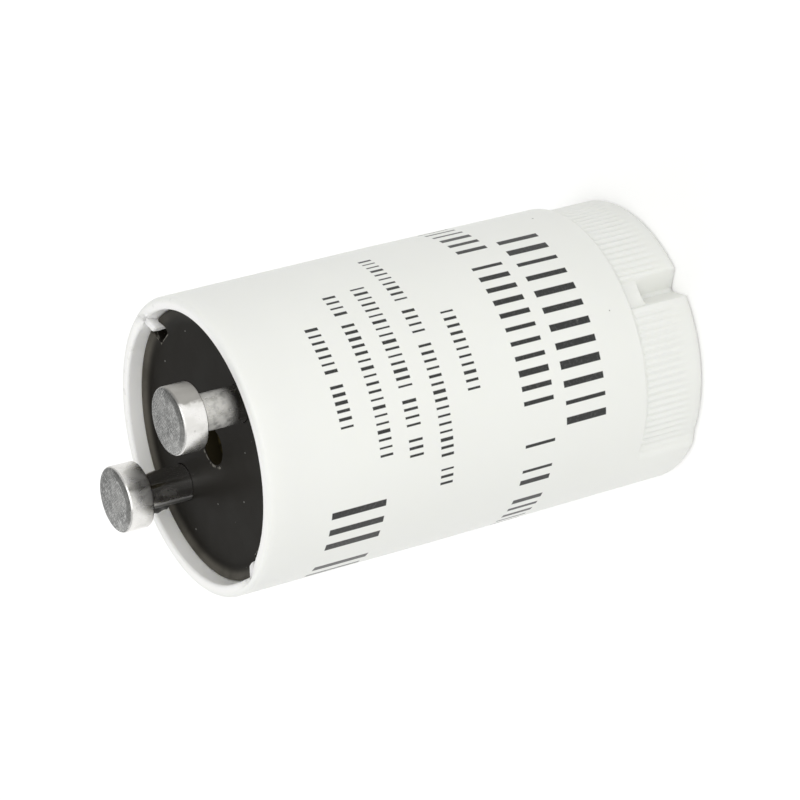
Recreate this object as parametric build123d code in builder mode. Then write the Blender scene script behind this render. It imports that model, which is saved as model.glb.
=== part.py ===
from build123d import *

import math
import os

# Fluorescent lamp starter, standing on its closed end with the contact pins upwards.
# Millimetres. The origin is the centre of the closed end's face, +Z runs along the can
# towards the pins, and both pins lie on the X axis.

# Can: straight from the rim down to the draft, which narrows it towards the closed end
case_height = 35.9
rim_radius = 10.71
straight_length = 15.9
foot_draft = 0.16
rim_wall = 0.93
ledge_width = 0.4
well_draft = 0.18
rim_outer_round = 0.34
rim_inner_round = 0.2
end_round = 0.55
end_thickness = 1.4
well_foot_round = 1.0

# Ribbed grips at the closed end, with a narrow plain land and a wide one between them.
# Angles run from the +X axis towards +Y.
grip_height = 5.05
grip_recess = 0.33
front_grip_start = -77.0
front_grip_end = 88.0
back_grip_start = 103.0
back_grip_end = 247.0
grip_top_round = 0.12
grip_shoulder_bevel = 0.12
rib_pitch_angle = 3.0
rib_depth = 0.14
rib_groove_width = 0.42
rib_start = 1.0

# Notch in the middle of each grip
notch_angle = -4.0
notch_width = 2.3
notch_floor_width = 0.3
notch_depth = 1.5
notch_height = 3.45
notch_shelf_depth = 0.35
notch_back_wall = 0.9

# Lugs staked from the rim's wall into the plate's keyways, which hold the plate down
lug_width = 0.7
lug_reach = 0.68
lug_slope = 0.3
lug_top_gap = 0.5
lug_side_gap = 0.05
lug_round = 0.14

# Base plate
plate_recess = 1.44
plate_thickness = 2.0
plate_gap = 0.06
border_height = 0.34
border_width = 0.3
border_slope = 0.32
boss_radius = 2.5
boss_height = 1.0
centre_hole_radius = 1.38
centre_hole_x = 0.1
centre_hole_y = -0.25
key_length = 1.22
key_width = 1.65
key_shift = 0.18
key_depth = 0.6
key_round = 0.25

# Contact pins, 12.7 apart
pin_inset = 4.36
pin_height = 4.1
head_radius = 2.4
head_thickness = 1.92
head_bevel = 0.18
head_back_bevel = 0.1
neck_radius = 1.32
neck_seat_depth = 0.5
neck_seat_clearance = 0.08
shank_radius = 1.05
shank_clearance = 0.02
rivet_radius = 1.65
rivet_height = 0.55
rivet_round = 0.35

# Solder tags under the plate
tag_thickness = 0.4
tag_ring_radius = 2.3
tag_arm_width = 1.8

# Leads, the same wire for the glow switch and the capacitor
lead_radius = 0.25
lead_row_y = 3.6
lead_clearance = 0.02
lead_proud = 0.4
lead_bend_radius = 1.0
lead_run_in = 1.6
lead_slope_rise = 2.3
lead_upright = 3.26

# Glow switch: glass bulb with a pinched top, a fixed electrode and a bimetal strip
bulb_radius = 3.75
bulb_wall = 0.55
bulb_floor_gap = 1.6
bulb_tip_radius = 0.75
bulb_tip_height = 1.2
bulb_tip_round = 0.4
bulb_dome_round = 2.9
bulb_shoulder_round = 1.9
pinch_width = 6.0
pinch_thickness = 2.4
pinch_height = 4.2
pinch_round = 0.8
post_spacing = 2.0
post_length = 4.5
electrode_radius = 0.45
electrode_bevel = 0.11
electrode_sleeve = 1.6
electrode_floor_gap = 2.2
strip_thickness = 0.25
strip_width = 2.2
strip_overlap = 1.8
strip_floor_gap = 2.6
strip_tip_gap = 0.6
strip_contact_gap = 0.32
weld_gap = 0.01

# Capacitor, dipped and stood beside the bulb
capacitor_width = 9.0
capacitor_depth = 4.0
capacitor_height = 11.0
capacitor_round = 1.2
capacitor_lead_spacing = 5.0
capacitor_lead_depth = 1.5

# How far a cutting shape stands out past the surface that it cuts
cut_margin = 1.0

# Levels and places that follow from the sizes
foot_radius = rim_radius - foot_draft
draft_top = case_height - straight_length
bore_radius = rim_radius - rim_wall
well_radius = bore_radius - ledge_width
well_foot_radius = well_radius - well_draft
grip_radius = foot_radius - grip_recess
shoulder_radius = foot_radius + foot_draft * grip_height / draft_top
pin_x = rim_radius - pin_inset
plate_face = case_height - plate_recess
plate_underside = plate_face - plate_thickness
border_top = plate_face + border_height
plate_radius = bore_radius - plate_gap
key_floor = plate_face - key_depth
boss_underside = plate_underside - boss_height
tag_underside = boss_underside - tag_thickness
pin_top = case_height + pin_height
head_underside = pin_top - head_thickness
neck_seat = plate_face - neck_seat_depth
lead_top = boss_underside + lead_proud
lead_arrival = tag_underside - lead_run_in
lead_departure = lead_arrival - lead_slope_rise
pinch_top = lead_departure - lead_upright
bulb_top = pinch_top - pinch_height
bulb_foot = end_thickness + bulb_floor_gap
bulb_base = bulb_foot + bulb_tip_height
bulb_floor = bulb_base + bulb_wall
post_x = post_spacing / 2
post_foot = bulb_top - bulb_wall - post_length
electrode_top = post_foot + electrode_sleeve
electrode_foot = bulb_floor + electrode_floor_gap
capacitor_top = pinch_top
capacitor_foot = capacitor_top - capacitor_height
capacitor_lead_x = capacitor_lead_spacing / 2
capacitor_lead_foot = capacitor_top - capacitor_lead_depth
grips = ((front_grip_start, front_grip_end), (back_grip_start, back_grip_end))
sides = {"left": -1, "right": 1}

os.makedirs("parts", exist_ok=True)


def save(part, node):
    """Labels a finished piece and writes it under its node's name."""
    part.label = node
    export_step(part, "parts/" + node + ".step")


def corner(sketch, x, y):
    """The sketch's corner nearest to a point of its plane."""
    return sketch.vertices().sort_by_distance((x, y))[0]


def sector_plane(angle):
    """Upright plane through the can's axis whose x direction points outwards at an angle."""
    a = math.radians(angle)
    return Plane(origin=(0, 0, 0), x_dir=(math.cos(a), math.sin(a), 0), z_dir=(math.sin(a), -math.cos(a), 0))


# Can: one moulding
with BuildPart() as case:
    # Turned section, with draft inside and out and a ledge for the base plate
    with BuildSketch(Plane.XZ) as can_section:
        with BuildLine():
            Polyline(
                (0, 0),
                (foot_radius, 0),
                (rim_radius, draft_top),
                (rim_radius, case_height),
                (bore_radius, case_height),
                (bore_radius, plate_underside),
                (well_radius, plate_underside),
                (well_foot_radius, end_thickness),
                (0, end_thickness),
                close=True,
            )
        make_face()
        fillet(corner(can_section, rim_radius, case_height), rim_outer_round)
        fillet(corner(can_section, bore_radius, case_height), rim_inner_round)
        fillet(corner(can_section, foot_radius, 0), end_round)
        fillet(corner(can_section, well_foot_radius, end_thickness), well_foot_round)
    revolve(axis=Axis.Z)

    # Wall behind each notch, inside the can
    back_x = grip_radius - notch_depth - notch_back_wall
    back_width = notch_width + 2 * notch_back_wall
    with BuildSketch(Plane.XY.offset(end_thickness / 2)):
        with PolarLocations(back_x, 2, start_angle=notch_angle):
            Rectangle(well_radius - back_x, back_width, align=(Align.MIN, Align.CENTER))
    extrude(amount=notch_height + notch_back_wall - end_thickness / 2)

    # Recess of each grip, with the can's end round carried on inside it
    for start, end in grips:
        with BuildSketch(sector_plane(start)) as grip_section:
            with BuildLine():
                Line((grip_radius - end_round, -cut_margin), (grip_radius - end_round, 0))
                JernArc((grip_radius - end_round, 0), (1, 0), end_round, 90)
                Polyline(
                    (grip_radius, end_round),
                    (grip_radius, grip_height),
                    (shoulder_radius - grip_shoulder_bevel, grip_height),
                    (shoulder_radius + cut_margin, grip_height + grip_shoulder_bevel + cut_margin),
                    (shoulder_radius + cut_margin, -cut_margin),
                    (grip_radius - end_round, -cut_margin),
                )
            make_face()
            fillet(corner(grip_section, grip_radius, grip_height), grip_top_round)
        revolve(axis=Axis.Z, revolution_arc=end - start, mode=Mode.SUBTRACT)

    # Grooves between the ribs, on one pitch from the +X axis, left out where a notch is
    notch_half_angle = math.degrees(math.asin(notch_width / 2 / grip_radius)) + rib_pitch_angle / 2
    with BuildSketch(Plane.XY.offset(rib_start)):
        for (start, end), notch_middle in zip(grips, (notch_angle, notch_angle + 180)):
            for k in range(math.ceil(start / rib_pitch_angle), math.floor(end / rib_pitch_angle)):
                angle = (k + 0.5) * rib_pitch_angle
                if abs(angle - notch_middle) > notch_half_angle:
                    with PolarLocations(grip_radius, 1, start_angle=angle):
                        Polygon(
                            (-rib_depth, 0),
                            (rib_depth, -rib_groove_width),
                            (rib_depth, rib_groove_width),
                            align=None,
                        )
    extrude(amount=grip_height - grip_top_round - rib_start, mode=Mode.SUBTRACT)

    # Notches: a deep vee from the end, and a shallow flat above it
    vee_slope = (notch_width - notch_floor_width) / 2 / notch_depth
    vee_mouth = notch_width / 2 + vee_slope * cut_margin
    with BuildSketch(Plane.XY.offset(-cut_margin)):
        with PolarLocations(grip_radius, 2, start_angle=notch_angle):
            Polygon(
                (-notch_depth, -notch_floor_width / 2),
                (cut_margin, -vee_mouth),
                (cut_margin, vee_mouth),
                (-notch_depth, notch_floor_width / 2),
                align=None,
            )
    extrude(amount=notch_height + cut_margin, mode=Mode.SUBTRACT)
    with BuildSketch(Plane.XY.offset(notch_height)):
        with PolarLocations(grip_radius - notch_shelf_depth, 2, start_angle=notch_angle):
            Rectangle(notch_shelf_depth + cut_margin / 2, notch_width, align=(Align.MIN, Align.CENTER))
    extrude(amount=grip_height - notch_height, mode=Mode.SUBTRACT)

    # Staked lugs, each beside one wall of its keyway and down to the keyway's floor
    lug_tip = bore_radius - lug_reach
    lug_root = (bore_radius + rim_radius) / 2
    lug_side = key_width / 2 - key_shift - lug_side_gap
    lug_top = case_height - rim_inner_round - lug_top_gap
    for angle in (90, 270):
        with BuildSketch(sector_plane(angle).offset(lug_side - lug_width)) as lug_section:
            with BuildLine():
                Polyline(
                    (lug_tip, key_floor),
                    (lug_root, key_floor),
                    (lug_root, lug_top),
                    (bore_radius, lug_top),
                    (lug_tip, lug_top - lug_slope),
                    close=True,
                )
            make_face()
            fillet(corner(lug_section, lug_tip, lug_top - lug_slope), lug_round)
        extrude(amount=lug_width)
save(case.part, "case")

# Base plate: moulded disc with a raised border, two bosses and its holes
with BuildPart() as base_plate:
    with BuildSketch(Plane.XZ):
        with BuildLine():
            Polyline(
                (0, plate_underside),
                (plate_radius, plate_underside),
                (plate_radius, border_top),
                (plate_radius - border_width, border_top),
                (plate_radius - border_width - border_slope, plate_face),
                (0, plate_face),
                close=True,
            )
        make_face()
    revolve(axis=Axis.Z)
    with BuildSketch(Plane.XY.offset(boss_underside)):
        with Locations((-pin_x, 0), (pin_x, 0)):
            Circle(boss_radius)
    extrude(amount=boss_height)
    with Locations((-pin_x, 0, plate_face), (pin_x, 0, plate_face)):
        CounterBoreHole(
            radius=shank_radius + shank_clearance,
            counter_bore_radius=neck_radius + neck_seat_clearance,
            counter_bore_depth=neck_seat_depth,
        )
    with Locations((centre_hole_x, centre_hole_y, plate_face)):
        Hole(radius=centre_hole_radius)

    # Blind keyways, open at the plate's edge, for the case's lugs
    with BuildSketch(Plane.XY.offset(key_floor)) as keyways:
        with PolarLocations(plate_radius - key_length, 2, start_angle=90):
            with Locations((0, key_shift)):
                Rectangle(key_length + cut_margin, key_width, align=(Align.MIN, Align.CENTER))
        for way in (-1, 1):
            inner_ends = keyways.vertices().sort_by_distance((0, way * (plate_radius - key_length)))
            fillet(inner_ends[:2], key_round)
    extrude(amount=key_depth + border_height, mode=Mode.SUBTRACT)
save(base_plate.part, "base_plate")

# Contact pins, turned and riveted over, each with its solder tag
for side, way in sides.items():
    pin_axis = Axis((way * pin_x, 0, 0), (0, 0, 1))
    with BuildPart() as contact_pin:
        with BuildSketch(Plane(origin=(way * pin_x, 0, 0), x_dir=(1, 0, 0), z_dir=(0, -1, 0))) as pin_section:
            with BuildLine():
                Polyline(
                    (0, tag_underside - rivet_height),
                    (rivet_radius, tag_underside - rivet_height),
                    (rivet_radius, tag_underside),
                    (shank_radius, tag_underside),
                    (shank_radius, neck_seat),
                    (neck_radius, neck_seat),
                    (neck_radius, head_underside),
                    (head_radius, head_underside),
                    (head_radius, pin_top),
                    (0, pin_top),
                    close=True,
                )
            make_face()
            fillet(corner(pin_section, rivet_radius, tag_underside - rivet_height), rivet_round)
            chamfer(corner(pin_section, head_radius, head_underside), head_back_bevel)
            chamfer(corner(pin_section, head_radius, pin_top), head_bevel)
        revolve(axis=pin_axis)
    save(contact_pin.part, "contact_pin_" + side)

    with BuildPart() as solder_tag:
        with BuildSketch(Plane.XY.offset(tag_underside)):
            with Locations((way * pin_x, 0)):
                Circle(tag_ring_radius)
                SlotCenterToCenter(2 * lead_row_y, tag_arm_width, rotation=90)
                Circle(shank_radius + shank_clearance, mode=Mode.SUBTRACT)
            with Locations((way * pin_x, -lead_row_y), (way * pin_x, lead_row_y)):
                Circle(lead_radius + lead_clearance, mode=Mode.SUBTRACT)
        extrude(amount=tag_thickness)
    save(solder_tag.part, "solder_tag_" + side)


def save_lead(node, way, row_y, start_x, start_z):
    """Wire that rises from a piece, leans out to a tag's hole and ends just through it."""
    with BuildPart() as lead:
        with BuildLine(Plane.XZ.offset(-row_y)) as route:
            FilletPolyline(
                (way * start_x, start_z),
                (way * start_x, lead_departure),
                (way * pin_x, lead_arrival),
                (way * pin_x, lead_top),
                radius=lead_bend_radius,
            )
        with BuildSketch(Plane(origin=(way * start_x, row_y, start_z), z_dir=(0, 0, 1))):
            Circle(lead_radius)
        sweep(path=route.wires()[0])
    save(lead.part, node)


for side, way in sides.items():
    save_lead("glow_switch_lead_" + side, way, -lead_row_y, post_x, post_foot)
    save_lead("capacitor_lead_" + side, way, lead_row_y, capacitor_lead_x, capacitor_lead_foot)

# Glow switch bulb: blown glass with a sealed tip below and a pinch round the leads above
bulb_plane = Plane(origin=(0, -lead_row_y, 0), x_dir=(1, 0, 0), z_dir=(0, -1, 0))
bulb_axis = Axis((0, -lead_row_y, 0), (0, 0, 1))
with BuildPart() as bulb:
    with BuildSketch(bulb_plane) as bulb_outside:
        with BuildLine():
            Polyline(
                (0, bulb_foot),
                (bulb_tip_radius, bulb_foot),
                (bulb_tip_radius, bulb_base),
                (bulb_radius, bulb_base),
                (bulb_radius, bulb_top),
                (0, bulb_top),
                close=True,
            )
        make_face()
        fillet(corner(bulb_outside, bulb_tip_radius, bulb_foot), bulb_tip_round)
        fillet(corner(bulb_outside, bulb_radius, bulb_base), bulb_dome_round)
        fillet(corner(bulb_outside, bulb_radius, bulb_top), bulb_shoulder_round)
    revolve(axis=bulb_axis)
    with BuildSketch(Plane.XY.offset(bulb_top - bulb_wall)):
        with Locations((0, -lead_row_y)):
            RectangleRounded(pinch_width, pinch_thickness, pinch_round)
    extrude(amount=bulb_wall + pinch_height)
    inside_radius = bulb_radius - bulb_wall
    with BuildSketch(bulb_plane) as bulb_inside:
        with BuildLine():
            Polyline(
                (0, bulb_floor),
                (inside_radius, bulb_floor),
                (inside_radius, bulb_top - bulb_wall),
                (0, bulb_top - bulb_wall),
                close=True,
            )
        make_face()
        fillet(corner(bulb_inside, inside_radius, bulb_floor), bulb_dome_round - bulb_wall)
        fillet(corner(bulb_inside, inside_radius, bulb_top - bulb_wall), bulb_shoulder_round - bulb_wall)
    revolve(axis=bulb_axis, mode=Mode.SUBTRACT)
    with BuildSketch(Plane.XY.offset(bulb_top - 2 * bulb_wall)):
        with Locations((-post_x, -lead_row_y), (post_x, -lead_row_y)):
            Circle(lead_radius + lead_clearance)
    extrude(amount=2 * bulb_wall + pinch_height + bulb_wall, mode=Mode.SUBTRACT)
save(bulb.part, "glow_switch_bulb")

# Fixed electrode: rod with a socket over the end of the right lead
with BuildPart() as electrode:
    with BuildSketch(Plane.XY.offset(electrode_foot)):
        with Locations((post_x, -lead_row_y)):
            Circle(electrode_radius)
    extrude(amount=electrode_top - electrode_foot)
    with Locations((post_x, -lead_row_y, electrode_top)):
        Hole(radius=lead_radius + lead_clearance, depth=electrode_sleeve)
    chamfer(electrode.edges().group_by(Axis.Z)[0], electrode_bevel)
save(electrode.part, "fixed_electrode")

# Bimetal strip: welded along the left lead, folded back up beside the electrode
weld_leg_x = -post_x - lead_radius - weld_gap - strip_thickness / 2
free_leg_x = post_x - electrode_radius - strip_contact_gap - strip_thickness / 2
fold_radius = (free_leg_x - weld_leg_x) / 2
fold_z = bulb_floor + strip_floor_gap
with BuildPart() as strip:
    with BuildSketch(bulb_plane):
        with BuildLine() as strip_line:
            Line((weld_leg_x, post_foot + strip_overlap), (weld_leg_x, fold_z))
            ThreePointArc(
                (weld_leg_x, fold_z),
                (weld_leg_x + fold_radius, fold_z - fold_radius),
                (free_leg_x, fold_z),
            )
            Line((free_leg_x, fold_z), (free_leg_x, post_foot - strip_tip_gap))
        trace(line_width=strip_thickness)
    extrude(amount=strip_width / 2, both=True)
save(strip.part, "bimetal_strip")

# Capacitor: dipped body with a socket for each of its leads
with BuildPart() as capacitor:
    with Locations((0, lead_row_y, capacitor_foot)):
        Box(
            capacitor_width,
            capacitor_depth,
            capacitor_height,
            align=(Align.CENTER, Align.CENTER, Align.MIN),
        )
    fillet(capacitor.edges(), capacitor_round)
    for way in (-1, 1):
        with Locations((way * capacitor_lead_x, lead_row_y, capacitor_top)):
            Hole(radius=lead_radius + lead_clearance, depth=capacitor_lead_depth)
save(capacitor.part, "capacitor_body")
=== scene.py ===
"""Visual model of the fluorescent lamp starter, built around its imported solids.

The can, the base plate and the two headed pins are modelled here, finer than their solids.
The pieces inside the can keep their solids and get finishes. Sizes are millimetres until a
piece is finished, in the frame of the solids: the can stands on its closed end, +Z runs to
the pins, and both pins lie on the X axis.
"""

from __future__ import annotations

import logging
import math
from dataclasses import dataclass
from enum import Enum

import bmesh
import bpy
from mathutils import Matrix, Vector, noise

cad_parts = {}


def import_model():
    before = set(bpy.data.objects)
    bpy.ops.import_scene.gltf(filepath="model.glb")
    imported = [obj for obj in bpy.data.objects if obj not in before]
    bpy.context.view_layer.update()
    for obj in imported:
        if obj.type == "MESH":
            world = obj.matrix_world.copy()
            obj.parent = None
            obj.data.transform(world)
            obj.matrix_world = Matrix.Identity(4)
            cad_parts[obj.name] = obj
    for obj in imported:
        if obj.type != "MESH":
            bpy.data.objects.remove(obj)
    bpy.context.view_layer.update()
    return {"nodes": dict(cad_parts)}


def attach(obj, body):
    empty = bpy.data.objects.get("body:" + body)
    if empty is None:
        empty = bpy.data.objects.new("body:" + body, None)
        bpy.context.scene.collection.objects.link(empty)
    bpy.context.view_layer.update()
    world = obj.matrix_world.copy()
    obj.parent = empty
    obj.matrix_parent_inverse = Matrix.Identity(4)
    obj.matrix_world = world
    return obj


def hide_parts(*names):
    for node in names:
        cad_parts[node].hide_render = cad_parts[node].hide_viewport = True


LOG = logging.getLogger("starter")
MM = 0.001
BODY = "root"
IMAGE_SIZE = 800
NOISE_SEED = 5

Colour = tuple[float, float, float]
Place = tuple[float, float, float]
Pair = tuple[float, float]
Corner = tuple[float, float, float]


class Side(Enum):
    """Which of the two pins a piece belongs to, with its way along X."""

    LEFT = -1
    RIGHT = 1


class Metal(Enum):
    """Metals of the starter, with their colours."""

    NICKEL = (0.8, 0.79, 0.77)
    TINNED = (0.62, 0.61, 0.58)
    BRASS = (0.62, 0.43, 0.17)
    STEEL = (0.45, 0.44, 0.42)


class Value:
    """Socket of a node tree that takes part in Python expressions."""

    def __init__(self, graph: Graph, socket: bpy.types.NodeSocket) -> None:
        """Keeps the graph and the socket."""
        self.graph = graph
        self.socket = socket

    def __add__(self, other: Value | float) -> Value:
        """Sum."""
        return self.graph.math("ADD", self, other)

    def __radd__(self, other: float) -> Value:
        """Sum with a number on the left."""
        return self.graph.math("ADD", other, self)

    def __sub__(self, other: Value | float) -> Value:
        """Difference."""
        return self.graph.math("SUBTRACT", self, other)

    def __rsub__(self, other: float) -> Value:
        """Difference from a number."""
        return self.graph.math("SUBTRACT", other, self)

    def __mul__(self, other: Value | float) -> Value:
        """Product."""
        return self.graph.math("MULTIPLY", self, other)

    def __rmul__(self, other: float) -> Value:
        """Product with a number on the left."""
        return self.graph.math("MULTIPLY", other, self)

    def __truediv__(self, other: Value | float) -> Value:
        """Quotient."""
        return self.graph.math("DIVIDE", self, other)

    def __abs__(self) -> Value:
        """Size without sign."""
        return self.graph.math("ABSOLUTE", self)

    def __lt__(self, other: Value | float) -> Value:
        """1 where this is less than the other, and 0 elsewhere."""
        return self.graph.math("LESS_THAN", self, other)

    def __gt__(self, other: Value | float) -> Value:
        """1 where this is more than the other, and 0 elsewhere."""
        return self.graph.math("GREATER_THAN", self, other)

    def rise(self, low: float, high: float, base: float = 0.0) -> Value:
        """Smooth step of this value.

        Args:
            low: the value at which the step is 0.
            high: the value at which it is 1; the step falls where this is the lower one.
            base: what both are counted from.

        Returns:
            The step, from 0 to 1.
        """
        low, high = base + low, base + high
        start, end = (0.0, 1.0) if low < high else (1.0, 0.0)
        settings = {"interpolation_type": "SMOOTHSTEP"}
        sockets = {
            "Value": self,
            "From Min": min(low, high),
            "From Max": max(low, high),
            "To Min": start,
            "To Max": end,
        }
        return self.graph.value("ShaderNodeMapRange", "Result", settings, sockets)

    def spread(self, low: float, high: float) -> Value:
        """This mask stretched to run from the low value to the high one."""
        return self * (high - low) + low


class Graph:
    """Node tree of one material, filled by expressions."""

    def __init__(self, name: str) -> None:
        """Starts a material with an empty tree.

        Args:
            name: the material's name.
        """
        self.material = bpy.data.materials.new(name)
        self.material.use_nodes = True
        self.tree = self.material.node_tree
        self.tree.nodes.clear()

    def add(
        self,
        kind: str,
        settings: dict | None = None,
        sockets: dict | None = None,
    ) -> bpy.types.Node:
        """Adds one node.

        Args:
            kind: the node's type.
            settings: what is set on the node before its sockets.
            sockets: values or links by the input's name or number.

        Returns:
            The node.
        """
        node = self.tree.nodes.new(kind)
        for name, setting in (settings or {}).items():
            setattr(node, name, setting)
        for key, given in (sockets or {}).items():
            if isinstance(given, Value):
                self.tree.links.new(given.socket, node.inputs[key])
            else:
                node.inputs[key].default_value = given
        return node

    def value(
        self,
        kind: str,
        output: str | int,
        settings: dict | None = None,
        sockets: dict | None = None,
    ) -> Value:
        """Adds one node, given as for add, and returns one of its outputs."""
        return Value(self, self.add(kind, settings, sockets).outputs[output])

    def math(self, operation: str, *terms: Value | float) -> Value:
        """Adds a Math node on its terms in their order."""
        return self.value("ShaderNodeMath", 0, {"operation": operation}, dict(enumerate(terms)))

    def mix(self, share: Value, first: Value | Colour, second: Value | Colour) -> Value:
        """Goes from one colour to another.

        Args:
            share: 0 for the first colour, and 1 for the second.
            first: the first colour.
            second: the second colour.

        Returns:
            The mixed colour.
        """
        colours = [c if isinstance(c, Value) else (*c, 1.0) for c in (first, second)]
        sockets = {0: share, 6: colours[0], 7: colours[1]}
        return self.value("ShaderNodeMix", 2, {"data_type": "RGBA"}, sockets)

    def coats(self, base: Value | Colour, *coats: tuple[Value, Colour]) -> Value:
        """Lays coats over a colour.

        Args:
            base: the colour below.
            coats: share and colour of each coat, in the order in which they are laid.

        Returns:
            The colour on top.
        """
        for share, colour in coats:
            base = self.mix(share, base, colour)
        return base

    def shade(self, colour: Value | Colour, factor: Value) -> Value:
        """Colour made lighter or darker by a factor."""
        return self.value("ShaderNodeVectorMath", 0, {"operation": "SCALE"}, {0: colour, 3: factor})

    def place(self, stretch: Place = (1.0, 1.0, 1.0)) -> Value:
        """Object coordinates in millimetres.

        Args:
            stretch: factor along each axis.

        Returns:
            The coordinates.
        """
        settings = {"operation": "MULTIPLY"}
        sockets = {0: self.value("ShaderNodeTexCoord", "Object"), 1: tuple(s / MM for s in stretch)}
        return self.value("ShaderNodeVectorMath", 0, settings, sockets)

    def length(self, across: Value, up: Value) -> Value:
        """Length of the way that goes across and up."""
        return self.math("SQRT", across * across + up * up)

    def axes(self) -> tuple[Value, Value, Value]:
        """The three object coordinates in millimetres."""
        split = self.add("ShaderNodeSeparateXYZ", None, {0: self.place()})
        return tuple(Value(self, split.outputs[i]) for i in range(3))

    def spot(self, across: Value, up: Value, size: float, core: float) -> Value:
        """Round spot, full within a share of its size."""
        return self.length(across, up).rise(size, size * core)

    def bump(self, height: Value, strength: float, distance: float) -> Value:
        """Normal of a height, with its distance in millimetres."""
        sockets = {"Strength": strength, "Distance": distance * MM, "Height": height}
        return self.value("ShaderNodeBump", "Normal", None, sockets)

    def finish(self, **sockets: Value | float | tuple) -> bpy.types.Material:
        """Adds the Principled shader and the output.

        Args:
            sockets: the shader's inputs, with an underscore for each blank of their names.

        Returns:
            The material.
        """
        named = {key.replace("_", " "): given for key, given in sockets.items()}
        shader = self.value("ShaderNodeBsdfPrincipled", 0, None, named)
        self.add("ShaderNodeOutputMaterial", None, {"Surface": shader})
        return self.material


@dataclass(frozen=True)
class Grain:
    """Uneven pattern of a surface, about 0.5: its tone, its skin, or patches of wear."""

    scale: float
    detail: float = 2.0
    seed: float = 0.0
    stretch: Place = (1.0, 1.0, 1.0)
    start: float = 0.0
    full: float = 1.0

    def noise(self, graph: Graph, shift: float = 0.0) -> Value:
        """The pattern itself.

        Args:
            graph: the material's tree.
            shift: added to the seed.

        Returns:
            The pattern.
        """
        vector, seed = graph.place(self.stretch), self.seed + shift
        sockets = {"Vector": vector, "W": seed, "Scale": self.scale, "Detail": self.detail}
        return graph.value("ShaderNodeTexNoise", 0, {"noise_dimensions": "4D"}, sockets)

    def patches(self, graph: Graph, shift: float = 0.0) -> Value:
        """Patches where the pattern passes its start, whole where it is full."""
        return self.noise(graph, shift).rise(self.start, self.full)


@dataclass(frozen=True)
class Dots:
    """Small dots scattered over a surface, some of the cells of a pattern having one."""

    scale: float
    size: float
    keep: float
    seed: float

    def mask(self, graph: Graph) -> Value:
        """Mask of the dots.

        Args:
            graph: the material's tree.

        Returns:
            1 on a dot, and 0 elsewhere.
        """
        sockets = {"Vector": graph.place(), "W": self.seed, "Scale": self.scale}
        cells = graph.add("ShaderNodeTexVoronoi", {"voronoi_dimensions": "4D"}, sockets)
        colour = Value(graph, cells.outputs["Color"])
        chance = graph.value("ShaderNodeSeparateColor", 0, None, {0: colour})
        dot = Value(graph, cells.outputs["Distance"]).rise(self.size, self.size * 0.6)
        return dot * (chance < self.keep)


@dataclass(frozen=True)
class PrintRow:
    """Row of plain printed bars that runs round the can."""

    low: float
    high: float
    start: float
    end: float
    pitch: float
    bar: float
    seed: float
    keep: float = 0.9
    edge: float = 0.03
    bar_spread: Pair = (0.65, 1.35)
    keep_shift: float = 200.0

    def mask(self, graph: Graph, angle: Value, height: Value, radius: float) -> Value:
        """Mask of the row.

        Args:
            graph: the material's tree.
            angle: degrees round the can.
            height: millimetres above the closed end.
            radius: radius of the can.

        Returns:
            1 on a bar, and 0 elsewhere.
        """
        arc = math.radians(1.0) * radius
        count = max(1, round((self.end - self.start) * arc / self.pitch))
        cell = (self.end - self.start) / count
        along = (angle - self.start) / cell
        number = graph.math("FLOOR", along)
        width = self.chance(graph, number + self.seed)
        kept = self.chance(graph, number + (self.seed + self.keep_shift)) > 1.0 - self.keep
        half_height = (self.high - self.low) / 2
        half_width = width.spread(*self.bar_spread) * (self.bar / 2)
        across = abs(along - number - 0.5) * (cell * arc) - half_width
        up = abs(height - (self.low + half_height)) - half_height
        inside = (along > 0.0) * (along < float(count))
        return graph.math("MAXIMUM", across, up).rise(self.edge, -self.edge) * inside * kept

    def chance(self, graph: Graph, number: Value) -> Value:
        """Random value of each whole number, the same on each run."""
        settings = {"noise_dimensions": "1D"}
        return graph.value("ShaderNodeTexWhiteNoise", 0, settings, {"W": number})


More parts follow.
